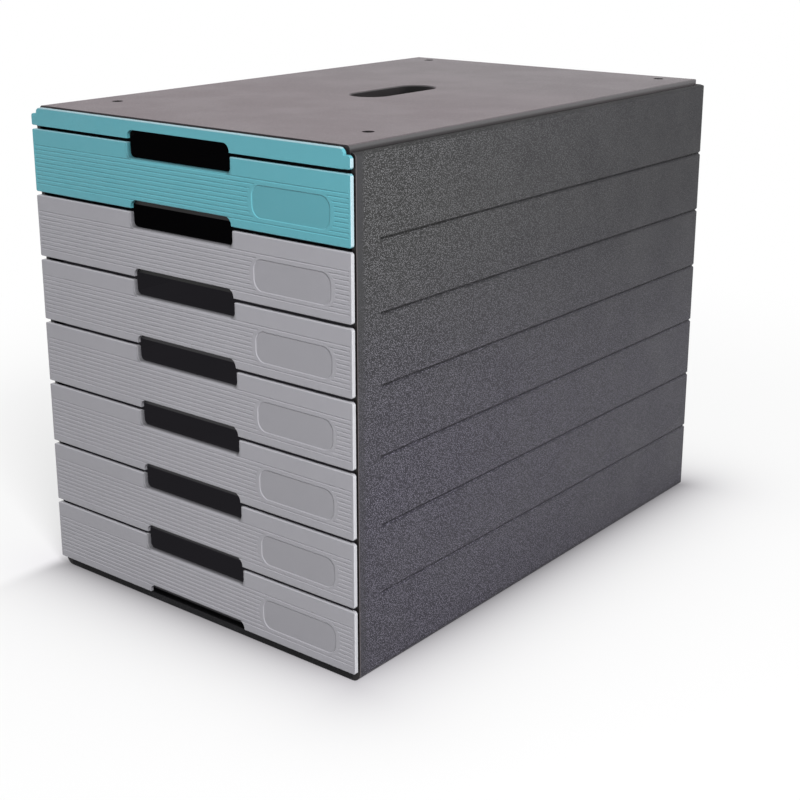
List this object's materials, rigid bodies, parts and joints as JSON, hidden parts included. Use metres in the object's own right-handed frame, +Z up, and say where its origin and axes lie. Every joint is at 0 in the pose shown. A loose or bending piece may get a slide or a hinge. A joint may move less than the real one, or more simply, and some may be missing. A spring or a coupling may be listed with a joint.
{
  "type": "file box with drawer",
  "caption": "Free-standing desk file box of moulded plastic: a screwed housing with a carry slot, and flat A4 drawers with finger gaps and label recesses, stacked one above the other.",
  "frame": {"origin": "centre of the footprint, on the desk's surface", "axes": "+X to the right as one faces the drawers, +Y from the fronts to the back, +Z up"},
  "size_m": [0.25, 0.374, 0.2986],
  "materials": {
    "housing": "fine grained moulding",
    "cover": "fine grained moulding",
    "base": "fine grained moulding",
    "tray": "satin moulding",
    "teal_front": "satin, with fine grooves",
    "grey_front": "satin, with fine grooves",
    "screw": "zinc plated",
    "foot": "matt"
  },
  "bodies": {
    "housing": {"left_side_panel": "housing", "right_side_panel": "housing", "back_panel": "housing", "top_cover": "cover", "base_plate": "base", "header_strip": "teal_front", "cover_screws": "screw", "base_screws": "screw", "rubber_feet": "foot"},
    "drawer_1": {"drawer_1_tray": "tray", "drawer_1_front": "teal_front"},
    "drawer_2": {"drawer_2_tray": "tray", "drawer_2_front": "grey_front"},
    "drawer_3": {"drawer_3_tray": "tray", "drawer_3_front": "grey_front"},
    "drawer_4": {"drawer_4_tray": "tray", "drawer_4_front": "grey_front"},
    "drawer_5": {"drawer_5_tray": "tray", "drawer_5_front": "grey_front"},
    "drawer_6": {"drawer_6_tray": "tray", "drawer_6_front": "grey_front"},
    "drawer_7": {"drawer_7_tray": "tray", "drawer_7_front": "grey_front"}
  },
  "joints": [
    {"name": "drawer_1_slide", "type": "slide", "parent": "housing", "child": "drawer_1", "axis": [0, -1, 0], "range_m": [0, 0.26]},
    {"name": "drawer_2_slide", "type": "slide", "parent": "housing", "child": "drawer_2", "axis": [0, -1, 0], "range_m": [0, 0.26]},
    {"name": "drawer_3_slide", "type": "slide", "parent": "housing", "child": "drawer_3", "axis": [0, -1, 0], "range_m": [0, 0.26]},
    {"name": "drawer_4_slide", "type": "slide", "parent": "housing", "child": "drawer_4", "axis": [0, -1, 0], "range_m": [0, 0.26]},
    {"name": "drawer_5_slide", "type": "slide", "parent": "housing", "child": "drawer_5", "axis": [0, -1, 0], "range_m": [0, 0.26]},
    {"name": "drawer_6_slide", "type": "slide", "parent": "housing", "child": "drawer_6", "axis": [0, -1, 0], "range_m": [0, 0.26]},
    {"name": "drawer_7_slide", "type": "slide", "parent": "housing", "child": "drawer_7", "axis": [0, -1, 0], "range_m": [0, 0.26]}
  ]
}
